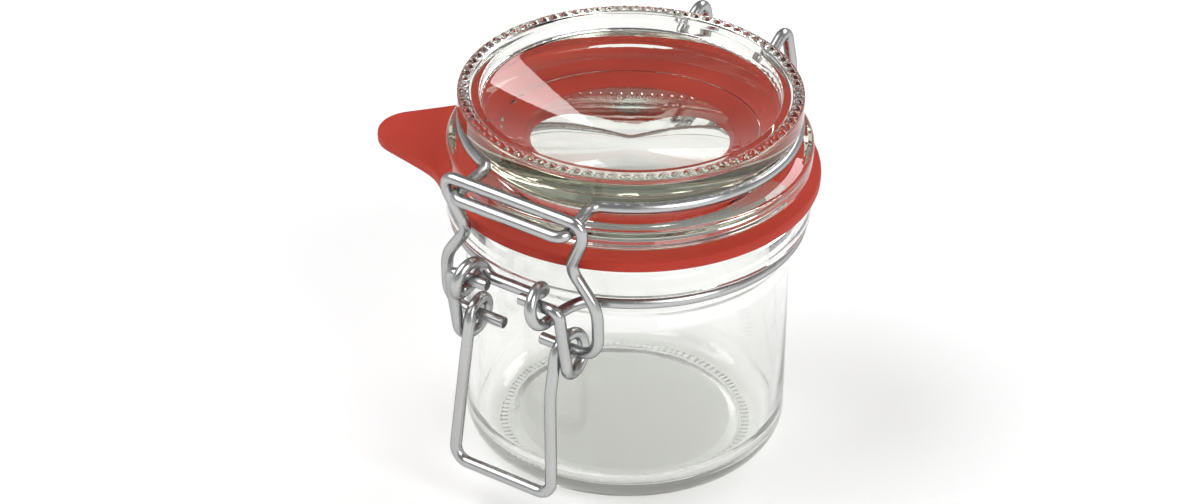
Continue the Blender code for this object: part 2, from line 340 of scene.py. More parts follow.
def wire_mesh(name, route, radius, sides):
    """Round tube: at each station the circle radius * (cos a normal + sin a binormal).

    The last 0.15 mm at each end narrows by up to 14%, as the square of the way to the end, like a
    worn edge. It ends in a flat cut face with its own material. The map has the length along the
    wire and the way round it, both in metres.
    """
    worn_length, worn_rows, narrowing = 0.15, 4, 0.14
    route = evenly(route)
    worn = np.linspace(0, worn_length, worn_rows)[:, None]
    first = (route[1] - route[0]) / np.linalg.norm(route[1] - route[0])
    last = (route[-1] - route[-2]) / np.linalg.norm(route[-1] - route[-2])
    route = np.concatenate([route[0] + first * worn, route[1:-1], route[-1] - last * worn[::-1]])
    tangent, normal, binormal = carried_frames(route)
    scale = np.ones(len(route))
    scale[:worn_rows] = 1 - narrowing * (1 - worn[:, 0] / worn_length) ** 2
    scale[-worn_rows:] = scale[:worn_rows][::-1]
    a = np.linspace(0, TAU, sides, endpoint=False)
    circle = normal[:, None] * np.cos(a)[:, None] + binormal[:, None] * np.sin(a)[:, None]
    points = route[:, None] * MM + circle * (radius * scale)[:, None, None]
    rows = len(points)
    r, c = (g.ravel() for g in np.meshgrid(np.arange(rows - 1), np.arange(sides), indexing="ij"))
    c2 = (c + 1) % sides
    faces = np.stack([r * sides + c, r * sides + c2, (r + 1) * sides + c2, (r + 1) * sides + c], 1)
    ends = np.concatenate([np.arange(sides)[::-1], (rows - 1) * sides + np.arange(sides)])
    mesh = whole_mesh(name, points.reshape(-1, 3), np.concatenate([faces.ravel(), ends]),
                      np.concatenate([np.full(len(faces), 4), [sides, sides]]))
    along = np.concatenate([[0], np.cumsum(np.linalg.norm(np.diff(route, axis=0), axis=1))]) * MM
    around = np.linspace(0, TAU * radius, sides + 1)
    side_map = np.stack([
        along[np.stack([r, r, r + 1, r + 1], 1)], around[np.stack([c, c + 1, c + 1, c], 1)]], -1)
    end_map = np.tile(np.stack([np.cos(a), np.sin(a)], 1) * radius, (2, 1))
    values = np.concatenate([side_map.reshape(-1, 2), end_map])
    mesh.uv_layers.new(name="surface").data.foreach_set("uv", values.ravel())
    is_end = np.arange(len(faces) + 2) >= len(faces)
    mesh.polygons.foreach_set("material_index", is_end.astype(np.int32))
    mesh.polygons.foreach_set("use_smooth", ~is_end)
    return mesh


def add_piece(name, mesh, body, node, materials):
    """Link a finished piece, let it ride on its body and stand for its CAD node."""
    obj = bpy.data.objects.new(name, mesh)
    bpy.context.scene.collection.objects.link(obj)
    for mat in materials:
        mesh.materials.append(mat)
    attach(obj, body)
    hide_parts(node)


# Shader groups and materials


def node(tree, kind, **values):
    """Add a node, with its properties and unlinked inputs set by name."""
    made = tree.nodes.new(kind)
    for key, value in values.items():
        if key in made.inputs:
            made.inputs[key].default_value = value
        else:
            setattr(made, key, value)
    return made


def new_group(name, numbers, outputs):
    """Shader node group with a Vector and named numbers in, named numbers out, and its end nodes."""
    group = bpy.data.node_groups.new(name, "ShaderNodeTree")
    group.interface.new_socket("Vector", in_out="INPUT", socket_type="NodeSocketVector")
    for label, default in numbers.items():
        socket = group.interface.new_socket(label, in_out="INPUT", socket_type="NodeSocketFloat")
        socket.default_value = default
    for label in outputs:
        group.interface.new_socket(label, in_out="OUTPUT", socket_type="NodeSocketFloat")
    return group, group.nodes.new("NodeGroupInput"), group.nodes.new("NodeGroupOutput")


def pressed_ripple_group():
    """Slow waves and fine streaks of moulded glass, as a height for a Bump node."""
    name = "pressed_ripple"
    if name in bpy.data.node_groups:
        return bpy.data.node_groups[name]
    group, start, end = new_group(
        name, {"Wave Scale": 60.0, "Streak Scale": 500.0, "Streak Amount": 0.2}, ["Height"])
    wave = node(group, "ShaderNodeTexNoise", Detail=2.0)
    streak = node(group, "ShaderNodeTexNoise", Detail=3.0)
    flat = node(group, "ShaderNodeVectorMath", operation="MULTIPLY")
    flat.inputs[1].default_value = (1.0, 1.0, 0.12)
    times = node(group, "ShaderNodeMath", operation="MULTIPLY")
    total = node(group, "ShaderNodeMath", operation="ADD")
    link = group.links.new
    link(start.outputs["Vector"], wave.inputs["Vector"])
    link(start.outputs["Wave Scale"], wave.inputs["Scale"])
    link(start.outputs["Vector"], flat.inputs[0])
    link(flat.outputs[0], streak.inputs["Vector"])
    link(start.outputs["Streak Scale"], streak.inputs["Scale"])
    link(streak.outputs["Fac"], times.inputs[0])
    link(start.outputs["Streak Amount"], times.inputs[1])
    link(wave.outputs["Fac"], total.inputs[0])
    link(times.outputs[0], total.inputs[1])
    link(total.outputs[0], end.inputs["Height"])
    return group


def turning_marks_group():
    """Tool marks about Z, between two radii and two heights: uneven rings, ribs, or both."""
    name = "turning_marks"
    if name in bpy.data.node_groups:
        return bpy.data.node_groups[name]
    group, start, end = new_group(
        name,
        {"Spacing": 0.0009, "Ring Amount": 1.0, "Ribs": 90.0, "Rib Amount": 0.0, "Inner Radius": -1.0,
         "Outer Radius": 0.03, "Lowest": -1.0, "Highest": 1.0},
        ["Height", "Mask"])
    given = start.outputs
    link = group.links.new

    def maths(operation, *values):
        made = node(group, "ShaderNodeMath", operation=operation)
        for socket, value in zip(made.inputs, values):
            if isinstance(value, float):
                socket.default_value = value
            else:
                link(value, socket)
        return made.outputs[0]

    split = node(group, "ShaderNodeSeparateXYZ")
    link(given["Vector"], split.inputs[0])
    x, y, z = split.outputs
    radius = maths("SQRT", maths("ADD", maths("MULTIPLY", x, x), maths("MULTIPLY", y, y)))
    angle = maths("ARCTAN2", y, x)
    place = node(group, "ShaderNodeCombineXYZ")
    link(maths("DIVIDE", radius, given["Spacing"]), place.inputs[0])
    link(maths("SINE", angle), place.inputs[1])
    link(maths("COSINE", angle), place.inputs[2])
    uneven = node(group, "ShaderNodeTexNoise", Scale=1.0, Detail=3.0, Roughness=0.6)
    link(place.outputs[0], uneven.inputs["Vector"])
    rings = maths("MULTIPLY", uneven.outputs["Fac"], given["Ring Amount"])
    comb = maths("SINE", maths("MULTIPLY", angle, given["Ribs"]))
    ribs = maths("MULTIPLY", comb, given["Rib Amount"])
    across = maths("MULTIPLY", maths("LESS_THAN", radius, given["Outer Radius"]),
                   maths("GREATER_THAN", radius, given["Inner Radius"]))
    upright = maths("MULTIPLY", maths("GREATER_THAN", z, given["Lowest"]),
                    maths("LESS_THAN", z, given["Highest"]))
    mask = maths("MULTIPLY", across, upright)
    link(maths("MULTIPLY", maths("ADD", rings, ribs), mask), end.inputs["Height"])
    link(mask, end.inputs["Mask"])
    return group


def mottle_group():
    """Two scales of noise as a mask round one half, for colour, gloss and fine relief."""
    name = "mottle"
    if name in bpy.data.node_groups:
        return bpy.data.node_groups[name]
    group, start, end = new_group(
        name, {"Large Scale": 80.0, "Fine Scale": 1500.0, "Fine Share": 0.4}, ["Mask", "Fine"])
    large = node(group, "ShaderNodeTexNoise", Detail=3.0)
    fine = node(group, "ShaderNodeTexNoise", Detail=2.0)
    mix = node(group, "ShaderNodeMix", data_type="FLOAT")
    link = group.links.new
    for tex, label in ((large, "Large Scale"), (fine, "Fine Scale")):
        link(start.outputs["Vector"], tex.inputs["Vector"])
        link(start.outputs[label], tex.inputs["Scale"])
    link(start.outputs["Fine Share"], mix.inputs["Factor"])
    link(large.outputs["Fac"], mix.inputs["A"])
    link(fine.outputs["Fac"], mix.inputs["B"])
    link(mix.outputs["Result"], end.inputs["Mask"])
    link(fine.outputs["Fac"], end.inputs["Fine"])
    return group


def place_group(tree, coords, group, **values):
    """Put a shader group into a material, on Object coordinates, with its own values."""
    made = tree.nodes.new("ShaderNodeGroup")
    made.node_tree = group
    for key, value in values.items():
        made.inputs[key.replace("_", " ")].default_value = value
    tree.links.new(coords.outputs["Object"], made.inputs["Vector"])
    return made


def tone_by(tree, bsdf, mask, colour, darkest, lightest):
    """Base colour that runs from colour * darkest to colour * lightest, at most one, by a mask."""
    tone = node(tree, "ShaderNodeMix", data_type="RGBA")
    for end, share in (("A", darkest), ("B", lightest)):
        tone.inputs[end].default_value = (*[min(1.0, c * share) for c in colour], 1.0)
    tree.links.new(mask, tone.inputs["Factor"])
    tree.links.new(tone.outputs["Result"], bsdf.inputs["Base Color"])


def relief_by(tree, bsdf, height, strength, distance, under=None):
    """Bump from a height to the normal, on top of the bump under it; returns its node."""
    bump = node(tree, "ShaderNodeBump", Strength=strength, Distance=distance)
    tree.links.new(height, bump.inputs["Height"])
    if under:
        tree.links.new(under.outputs["Normal"], bump.inputs["Normal"])
    tree.links.new(bump.outputs["Normal"], bsdf.inputs["Normal"])
    return bump


def blank_material(name):
    """Empty material with an output, its Principled BSDF and Object coordinates."""
    mat = bpy.data.materials.new(name)
    mat.use_nodes = True
    tree = mat.node_tree
    tree.nodes.clear()
    out = tree.nodes.new("ShaderNodeOutputMaterial")
    bsdf = tree.nodes.new("ShaderNodeBsdfPrincipled")
    coords = tree.nodes.new("ShaderNodeTexCoord")
    return mat, tree, out, bsdf, coords


def glass_material(name, depth_colour, density, wave_height, marks, worn=None):
    """Clear moulded glass: slow ripples, tooling marks, and a tint that deepens with thickness.

    marks are pairs of a height and the values of the turning marks that have it. worn is a place, as
    the turning marks take it, where the surface is frosted. The shadow is thin, as that of clear
    glass is, because the light that the glass bends on to the floor is there as well.
    """
    frosting, shadow = 0.4, (0.68, 0.685, 0.675, 1.0)
    mat, tree, out, bsdf, coords = blank_material(name)
    bsdf.inputs["Base Color"].default_value = (0.975, 0.98, 0.97, 1.0)
    bsdf.inputs["Roughness"].default_value = 0.0
    bsdf.inputs["IOR"].default_value = 1.52
    bsdf.inputs["Transmission Weight"].default_value = 1.0
    link = tree.links.new
    ripple = place_group(
        tree, coords, pressed_ripple_group(), Wave_Scale=70.0, Streak_Scale=420.0, Streak_Amount=0.12)
    last = relief_by(tree, bsdf, ripple.outputs["Height"], 1.0, wave_height)
    for height, values in marks:
        tooling = place_group(tree, coords, turning_marks_group(), **values)
        last = relief_by(tree, bsdf, tooling.outputs["Height"], 1.0, height, last)
    if worn:
        frost = place_group(tree, coords, turning_marks_group(), **worn)
        dull = node(tree, "ShaderNodeMath", operation="MULTIPLY")
        dull.inputs[1].default_value = frosting
        link(frost.outputs["Mask"], dull.inputs[0])
        link(dull.outputs[0], bsdf.inputs["Roughness"])
    path = tree.nodes.new("ShaderNodeLightPath")
    clear = node(tree, "ShaderNodeBsdfTransparent", Color=shadow)
    mix = tree.nodes.new("ShaderNodeMixShader")
    link(path.outputs["Is Shadow Ray"], mix.inputs[0])
    link(bsdf.outputs[0], mix.inputs[1])
    link(clear.outputs[0], mix.inputs[2])
    link(mix.outputs[0], out.inputs["Surface"])
    soak = node(tree, "ShaderNodeVolumeAbsorption", Color=(*depth_colour, 1.0), Density=density)
    link(soak.outputs[0], out.inputs["Volume"])
    return mat


def steel_material(name, colour, roughness):
    """Drawn steel wire: fine lines along its length, small dull patches and uneven gloss.

    The tint is grey, so that the wire's edges stay darker than its middle.
    """
    mat, tree, out, bsdf, coords = blank_material(name)
    link = tree.links.new
    uv = node(tree, "ShaderNodeUVMap", uv_map="surface")
    stretch = node(tree, "ShaderNodeMapping")
    stretch.inputs["Scale"].default_value = (60.0, 5200.0, 1.0)
    link(uv.outputs[0], stretch.inputs["Vector"])
    lines = node(tree, "ShaderNodeTexNoise", Scale=1.0, Detail=4.0, Roughness=0.65)
    link(stretch.outputs[0], lines.inputs["Vector"])
    patches = place_group(
        tree, coords, mottle_group(), Large_Scale=260.0, Fine_Scale=2600.0, Fine_Share=0.35)
    ramp = node(tree, "ShaderNodeMapRange", **{
        "From Min": 0.3, "From Max": 0.7, "To Min": roughness * 0.7, "To Max": roughness * 1.35})
    blend = node(tree, "ShaderNodeMix", data_type="FLOAT", Factor=0.55)
    link(lines.outputs["Fac"], blend.inputs["A"])
    link(patches.outputs["Mask"], blend.inputs["B"])
    link(blend.outputs["Result"], ramp.inputs["Value"])
    link(ramp.outputs["Result"], bsdf.inputs["Roughness"])
    tone_by(tree, bsdf, blend.outputs["Result"], colour, 0.82, 1.1)
    bsdf.inputs["Metallic"].default_value = 1.0
    bsdf.inputs["Specular Tint"].default_value = (0.35, 0.35, 0.35, 1.0)
    relief_by(tree, bsdf, lines.outputs["Fac"], 0.35, 0.00002)
    link(bsdf.outputs[0], out.inputs["Surface"])
    return mat


def cut_end_material(name, colour):
    """Sheared wire end: dark, rough, with the ridges that the cutter leaves."""
    mat, tree, out, bsdf, coords = blank_material(name)
    grain = place_group(
        tree, coords, mottle_group(), Large_Scale=900.0, Fine_Scale=5200.0, Fine_Share=0.5)
    tone_by(tree, bsdf, grain.outputs["Mask"], colour, 0.5, 1.0)
    bsdf.inputs["Metallic"].default_value = 0.85
    bsdf.inputs["Roughness"].default_value = 0.5
    relief_by(tree, bsdf, grain.outputs["Fine"], 0.6, 0.00006)
    tree.links.new(bsdf.outputs[0], out.inputs["Surface"])
    return mat


def rubber_material(name, colour):
    """Moulded natural rubber: even colour with faint clouds, a dull bloom and fine pores."""
    mat, tree, out, bsdf, coords = blank_material(name)
    link = tree.links.new
    cloud = place_group(
        tree, coords, mottle_group(), Large_Scale=110.0, Fine_Scale=3800.0, Fine_Share=0.3)
    tone_by(tree, bsdf, cloud.outputs["Mask"], colour, 0.84, 1.14)
    gloss = node(tree, "ShaderNodeMapRange", **{"To Min": 0.42, "To Max": 0.66})
    link(cloud.outputs["Mask"], gloss.inputs["Value"])
    link(gloss.outputs["Result"], bsdf.inputs["Roughness"])
    bsdf.inputs["Specular IOR Level"].default_value = 0.22
    relief_by(tree, bsdf, cloud.outputs["Fine"], 0.7, 0.00009)
    link(bsdf.outputs[0], out.inputs["Surface"])
    return mat


def floor_material(name, colour):
    """Matt studio paper with very faint clouds."""
    mat, tree, out, bsdf, coords = blank_material(name)
    cloud = place_group(tree, coords, mottle_group(), Large_Scale=3.0, Fine_Scale=40.0, Fine_Share=0.2)
    tone_by(tree, bsdf, cloud.outputs["Mask"], colour, 0.99, 1.0)
    bsdf.inputs["Roughness"].default_value = 0.9
    bsdf.inputs["Specular IOR Level"].default_value = 0.1
    tree.links.new(bsdf.outputs[0], out.inputs["Surface"])
    return mat


def steel_pair():
    """The wire's two materials, made once: drawn surface and cut end."""
    wires = bpy.context.scene.clip_jar.wires
    steel = bpy.data.materials.get("drawn_steel") or steel_material(
        "drawn_steel", tuple(wires.colour), wires.roughness)
    cut = bpy.data.materials.get("cut_steel") or cut_end_material("cut_steel", tuple(wires.cut_colour))
    return [steel, cut]


# Settings


def length_setting(name, description, default):
    """A length in metres."""
    return FloatProperty(
        name=name, description=description, default=default, min=0.0, unit="LENGTH", precision=5)


def colour_setting(name, description, default):
    """A linear colour."""
    return FloatVectorProperty(
        name=name, description=description, default=default, subtype="COLOR", min=0.0, max=1.0)


class JarSettings(PropertyGroup):
    """Sizes and colour of the jar's glass"""

    body_radius: length_setting("Body Radius", "Outside radius of the straight wall", 0.034)
    wall: length_setting("Wall", "Thickness of the glass wall", 0.0027)
    heel_radius: length_setting("Heel Radius", "Rounding between the wall and the base", 0.006)
    push_up: length_setting("Push-up", "Rise of the base's middle inside its bearing ring", 0.0009)
    flange_radius: length_setting("Flange Radius", "Outside radius of the neck's flange", 0.0382)
    depth_colour: colour_setting("Depth Colour", "Colour that thick glass turns to", (0.62, 0.66, 0.56))


class LidSettings(PropertyGroup):
    """Sizes and colour of the lid's glass"""

    rim_radius: length_setting("Rim Radius", "Outside radius of the stacking rim", 0.0358)
    flange_radius: length_setting("Flange Radius", "Outside radius of the lower flange", 0.03815)
    dish_drop: length_setting("Dish Drop", "Depth of the dish below its own edge", 0.0088)
    under_sag: length_setting("Underside Sag", "Sag of the underside's middle", 0.0009)
    bead_count: IntProperty(
        name="Beads", description="Raised dots round the rim", default=84, min=12, max=120)
    bead_height: length_setting("Bead Height", "Height of each raised dot", 0.00055)
    depth_colour: colour_setting("Depth Colour", "Colour that thick glass turns to", (0.60, 0.63, 0.44))


class GasketSettings(PropertyGroup):
    """Sizes and colour of the rubber ring, and how the glass presses it"""

    outer_radius: length_setting("Outer Radius", "Outside radius of the ring", 0.03985)
    inner_radius: length_setting("Inner Radius", "Inside radius of the ring", 0.0236)
    squeeze: length_setting("Squeeze", "Rubber pressed against the glass on each side", 0.00031)
    contact_radius: length_setting("Contact Radius", "Outside radius of the lid's seat", 0.0349)
    slack_direction: FloatProperty(
        name="Slack Direction", description="Way round from +X where the lid presses least",
        default=math.radians(-56.5), subtype="ANGLE")
    tab_reach: length_setting("Tab Reach", "Distance from the jar's middle to the tab's tip", 0.05445)
    edge_radius: length_setting("Edge Radius", "Rounding of the moulded edges", 0.0004)
    colour: colour_setting("Colour", "Colour of the rubber", (0.43, 0.036, 0.020))


class WireSettings(PropertyGroup):
    """Gauge and finish of all the wire"""

    radius: length_setting("Wire Radius", "Radius of all the wire", 0.00125)
    sides: IntProperty(name="Sides", description="Flats round the wire", default=24, min=8, max=48)
    colour: colour_setting("Colour", "Colour of the steel", (0.51, 0.515, 0.515))
    cut_colour: colour_setting("Cut Colour", "Colour of the cut ends", (0.16, 0.155, 0.15))
    roughness: FloatProperty(
        name="Roughness", description="Middle roughness of the steel", default=0.24, min=0.0, max=1.0)


class StageSettings(PropertyGroup):
    """Floor and lights"""

    floor_colour: colour_setting("Floor Colour", "Colour of the studio paper", (0.95, 0.95, 0.95))
    floor_radius: length_setting("Floor Radius", "Radius of the round floor", 6.0)
    key_power: FloatProperty(
        name="Key Power", description="Power of the main light", default=16.0, min=0.0, unit="POWER")
    fill_power: FloatProperty(
        name="Fill Power", description="Power of each weak light", default=9.0, min=0.0, unit="POWER")


class ClipJarSettings(PropertyGroup):
    """All settings, one group for each kind of piece"""

    jar: PointerProperty(type=JarSettings)
    lid: PointerProperty(type=LidSettings)
    gasket: PointerProperty(type=GasketSettings)
    wires: PointerProperty(type=WireSettings)
    stage: PointerProperty(type=StageSettings)


# Operators


class CLIPJAR_OT_jar_glass(Operator):
    """Turn the glass jar with its flange, wire groove, rounded heel and pushed-up base"""

    bl_idname = "clip_jar.jar_glass"
    bl_label = "Jar Glass"

    def execute(self, context):
        s = context.scene.clip_jar.jar
        body, wall, heel, flange, push = (
            v / MM for v in (s.body_radius, s.wall, s.heel_radius, s.flange_radius, s.push_up))
        top = JAR_TOP / MM
        inner = body - wall
        # Floor, inside wall and mouth, flange, wire groove and bead, outside wall, then the base
        corners = [
            (0, 3.5), (20.0, 3.1), (inner, 2.7), (inner, 43.0), (30.0, 46.9), (30.0, top),
            (flange, top), (flange, 54.0),
            (34.75, 54.0), (34.75, 50.8), (35.2, 50.4), (35.2, 49.0),
            (body, 47.2), (body, 0.0),
            (24.6, 0.0), (22.6, push), (0, push)]
        radii = [3.0, 6.0, 3.0, 3.0, 0.9, 0.9, 1.0, 0.25, 0.25, 0.4, 0.6, 1.6, heel, 0.7, 0.9]
        profile = held_straight(rounded(flat_points(corners), radii, math.radians(7))[:, ::2], 3.0) * MM
        profile[[0, -1], 0] = 0.0

        def blown(radius, height, angle):
            """Slow waves of the inside wall: three sines of angle and height, strongest half way up."""
            lowest, span, depth = 0.008, 0.036, 0.00007
            on_wall = (radius > 0.0305) & (radius < (inner + 0.05) * MM)
            inside = on_wall & (height > lowest) & (height < lowest + span)
            share = np.sin(np.pi * np.clip((height - lowest) / span, 0, 1))
            wave = (np.sin(3 * angle + 0.7) + 0.6 * np.sin(5 * angle + 160 * height)
                    + 0.5 * np.sin(9 * angle - 90 * height))
            return radius + inside * share * wave * depth, height

        mesh = turned("glass_jar", profile, 240, blown)
        # A ring of ribs under the base, and an underside frosted by standing
        knurl = dict(
            Ring_Amount=1.6, Ribs=110.0, Rib_Amount=0.3, Inner_Radius=0.0254, Outer_Radius=0.0274,
            Highest=0.0009)
        frost = dict(Outer_Radius=0.033, Highest=0.0012)
        mat = glass_material(
            "clear_jar_glass", tuple(s.depth_colour), density=9.0, wave_height=0.00006,
            marks=[(0.0002, knurl)], worn=frost)
        add_piece("glass_jar", mesh, "jar", "jar_glass", [mat])
        return {"FINISHED"}


class CLIPJAR_OT_lid_glass(Operator):
    """Turn the thick glass lid with its dish, dotted stacking rim, wire waist and flange"""

    bl_idname = "clip_jar.lid_glass"
    bl_label = "Lid Glass"

    def execute(self, context):
        s = context.scene.clip_jar.lid
        rim, flange, drop, bead, sag = (
            v / MM for v in (s.rim_radius, s.flange_radius, s.dish_drop, s.bead_height, s.under_sag))
        low = LID_LOW / MM
        crest = LID_TOP / MM - bead
        # Nearly conical dish: height = edge - drop * (1 - distance ^ 1.42), blunt at its middle
        t = np.linspace(0, 1, 18) ** 1.3
        dish_radius, dish_edge = 29.8, 77.6
        dish = np.stack([dish_radius * t, dish_edge - drop * (1 - np.hypot(t, 0.02) ** 1.42)], 1)
        inside = rounded(flat_points(
            [dish[-1], (30.7, 78.0), (31.2, crest - 0.3), (32.9, crest - 0.3), (33.3, crest),
             (33.4, crest)]),
            [0.9, 0.4, 0.3, 0.2], math.radians(12))[:, ::2]
        dotted = np.stack([np.linspace(33.5, 35.5, 9), np.full(9, crest)], 1)
        outside = rounded(flat_points(
            [dotted[-1], (rim, crest), (rim, 76.5), (33.25, 76.1), (33.25, 71.9), (36.8, 70.9),
             (flange, 70.3), (flange, 65.9), (34.9, low), (29.9, low),
             (UNDER_RADIUS, low + UNDER_RISE)]),
            [0.28, 0.7, 0.35, 0.8, 1.2, 1.0, 1.6, 0.5, 0.2], math.radians(14))[:, ::2]
        # Nearly flat underside: height = edge - sag * (1 - distance ^ power)
        t = np.linspace(1, 0, 10)[1:]
        under = np.stack([UNDER_RADIUS * t, low + UNDER_RISE - sag * (1 - t ** UNDER_POWER)], 1)
        profile = MM * np.concatenate(
            [dish[:-1], held_straight(inside, 3.0), dotted, held_straight(outside, 8.0)[1:], under])
        profile[[0, -1], 0] = 0.0
        beads = s.bead_count
        ring, bead_radius = 34.5 * MM, 0.98 * MM

        def beaded(radius, height, angle):
            """Round dots on the crest: height grows by a round cap about each dot's middle."""
            along = (np.mod(angle * beads / TAU, 1.0) - 0.5) * TAU * ring / beads
            distance = np.hypot(along, radius - ring)
            on_crest = height > (crest - 0.05) * MM
            return radius, height + on_crest * bead * MM * round_cap(distance, bead_radius)

        mesh = turned("glass_lid", profile, beads * 8, beaded)
        rings = dict(Spacing=0.0009, Outer_Radius=0.0296, Lowest=0.067, Highest=0.079)
        mat = glass_material(
            "clear_lid_glass", tuple(s.depth_colour), density=20.0, wave_height=0.00003,
            marks=[(0.000007, rings)])
        add_piece("glass_lid", mesh, "lid", "lid_glass", [mat])
        return {"FINISHED"}


class CLIPJAR_OT_gasket(Operator):
    """Mould the flat rubber ring with its pull tab, rounded edges and parting line"""

    bl_idname = "clip_jar.gasket"
    bl_label = "Gasket"

    def execute(self, context):
        settings = context.scene.clip_jar
        s = settings.gasket
        turn = np.linspace(-math.pi, math.pi, 900, endpoint=False)
        angle = turn + math.radians(199.5)
        outer = self.outline(turn, s.outer_radius / MM, s.tab_reach / MM)
        out = np.stack([outer * np.cos(angle), outer * np.sin(angle)], 1)
        ahead = np.roll(out, -1, 0) - np.roll(out, 1, 0)
        out_way = np.stack([ahead[:, 1], -ahead[:, 0]], 1) / np.linalg.norm(ahead, axis=1)[:, None]
        round_way = np.stack([np.cos(angle), np.sin(angle)], 1)
        hole = round_way * s.inner_radius / MM

        low, high = (GASKET_LOW - s.squeeze) / MM, (GASKET_HIGH + s.squeeze) / MM
        rim_depth = 1.2
        depth, height, part = self.section(low, high, s.edge_radius / MM, rim_depth)
        outer_depth = np.where(part > 0, np.maximum(depth, rim_depth * (part < 1)), 0)
        inner_depth = np.where(part < 1, np.maximum(depth, rim_depth * (part > 0)), 0)
        outer_point = out[None] - out_way[None] * outer_depth[:, None, None]
        inner_point = hole[None] + round_way[None] * inner_depth[:, None, None]
        flat = outer_point * part[:, None, None] + inner_point * (1 - part)[:, None, None]
        level = self.pressed(s, settings.lid.under_sag / MM, flat, angle, height[:, None], low, high)
        points = np.concatenate([flat, level[..., None]], 2) * MM
        mesh = grid_mesh("rubber_gasket", points[::-1], wrap_rows=True)
        mat = rubber_material("red_rubber", tuple(s.colour))
        add_piece("rubber_gasket", mesh, "lid", "gasket", [mat])
        return {"FINISHED"}

    @staticmethod
    def section(low, high, edge, rim_depth):
        """Section of the ring: depth behind the nearer edge, height, and share of the outer edge.

        Both edges have the same rim, a straight line with rounded ends and a low parting line half
        way up. Between the rims the share runs evenly over the top and back along the bottom.
        """
        inset, half_line = 0.06, 0.15
        middle = (low + high) / 2
        rim = rounded(flat_points(
            [(rim_depth, low), (inset, low), (inset, middle - half_line), (0, middle),
             (inset, middle + half_line), (inset, high), (rim_depth, high)]),
            [edge, 0.05, 0.04, 0.05, edge], math.radians(15))[:, ::2]
        share = np.linspace(0, 1, 14)[1:-1]
        level = np.ones(len(share))
        depth = np.concatenate([rim[:, 0], level * 0, rim[::-1, 0], level * 0])
        height = np.concatenate([rim[:, 1], level * high, rim[::-1, 1], level * low])
        part = np.concatenate([np.ones(len(rim)), 1 - share, np.zeros(len(rim)), share])
        return depth, height, part

    @staticmethod
    def pressed(s, sag, flat, angle, height, low, high):
        """Heights of the ring between the two glasses, which touch it, so that red shows through.

        Past the lid's seat the top falls back by the squeeze, by the smooth step p^2 (3 - 2 p) over
        0.9 mm, and so it does within 50 degrees of the slack direction, easing out at 75 degrees.
        Inside the seat the top rises to the lid's underside, rise - sag (1 - distance ^ power), and
        a little into the glass, over a short slope at the seat.
        """
        slope, overlap = 0.012, 0.3
        radius = np.linalg.norm(flat, axis=2)
        past = np.clip((radius - s.contact_radius / MM) / 0.9, 0, 1)
        slack = np.clip((np.cos(angle - s.slack_direction) - 0.26) / 0.38, 0, 1)
        past = np.maximum(past, slack)
        lowered = past ** 2 * (3 - 2 * past) * s.squeeze / MM * (height > (low + high) / 2 + 0.3)
        inward = radius / UNDER_RADIUS
        rise = UNDER_RISE + overlap - sag * (1 - np.clip(inward, 0, 1) ** UNDER_POWER)
        lip = np.clip((1 + slope - inward) / slope, 0, 1) * rise * (1 - slack) * (height > high - 0.01)
        return height - lowered + lip

    @staticmethod
    def outline(turn, ring, reach):
        """Outer radius at an angle from the tab: its round tip, or a flank that eases into the ring.

        The tip is a circle of 8.1 mm about a point on the tab's middle line, and each flank is its
        tangent, 31 degrees off that line. The ease is ring + b * log(1 + exp((flank - ring) / b)).
        """
        tip_radius, ease_width, normal = 8.1, 1.3, math.radians(59)
        centre = reach - tip_radius
        tip = math.atan2(tip_radius * math.sin(normal), centre + tip_radius * math.cos(normal))
        away = np.abs(turn)
        across = np.clip(tip_radius ** 2 - (centre * np.sin(away)) ** 2, 0, None)
        round_tip = centre * np.cos(away) + np.sqrt(across)
        near = np.minimum(away, math.radians(60))
        flank = (centre * math.cos(normal) + tip_radius) / np.cos(normal - near)
        flank = ring + ease_width * np.log1p(np.exp((flank - ring) / ease_width))
        return np.where(away < tip, round_tip, np.where(away > math.radians(60), ring, flank))


def add_wire(context, name, route, body, cad_node):
    """Make one bent wire and its piece."""
    wires = context.scene.clip_jar.wires
    mesh = wire_mesh(name, route, wires.radius, wires.sides)
    add_piece(name, mesh, body, cad_node, steel_pair())


class CLIPJAR_OT_neck_wire(Operator):
    """Bend the wire that rings the jar's neck, with its four eyes and front bar"""

    bl_idname = "clip_jar.neck_wire"
    bl_label = "Neck Wire"

    def execute(self, context):
        add_wire(context, "steel_neck_wire", neck_wire_route(), "jar", "neck_wire")
        return {"FINISHED"}


class CLIPJAR_OT_lid_wire(Operator):
    """Bend the wire that rings the lid, with its hinge arms and keeper bar"""

    bl_idname = "clip_jar.lid_wire"
    bl_label = "Lid Wire"

    def execute(self, context):
        add_wire(context, "steel_lid_wire", lid_wire_route(), "lid", "lid_wire")
        return {"FINISHED"}


class CLIPJAR_OT_lever(Operator):
    """Bend the lever with its pins, loops and handle"""

    bl_idname = "clip_jar.lever"
    bl_label = "Lever"

    def execute(self, context):
        add_wire(context, "steel_lever", lever_route(), "lever", "lever")
        return {"FINISHED"}


class CLIPJAR_OT_clamp(Operator):
    """Bend the clamp that pulls the lid's keeper bar down"""

    bl_idname = "clip_jar.clamp"
    bl_label = "Clamp"

    def execute(self, context):
        add_wire(context, "steel_clamp", clamp_route(), "clamp", "clamp")
        return {"FINISHED"}


def soft_light(name, place, target, size, power):
    """Round or oval area light at a place, facing a target."""
    data = bpy.data.lights.new(name, "AREA")
    data.shape = "ELLIPSE"
    data.size, data.size_y = size
    data.energy = power
    light = bpy.data.objects.new(name, data)
    bpy.context.scene.collection.objects.link(light)
    light.location = place
    light.rotation_euler = (Vector(target) - Vector(place)).to_track_quat("-Z", "Y").to_euler()


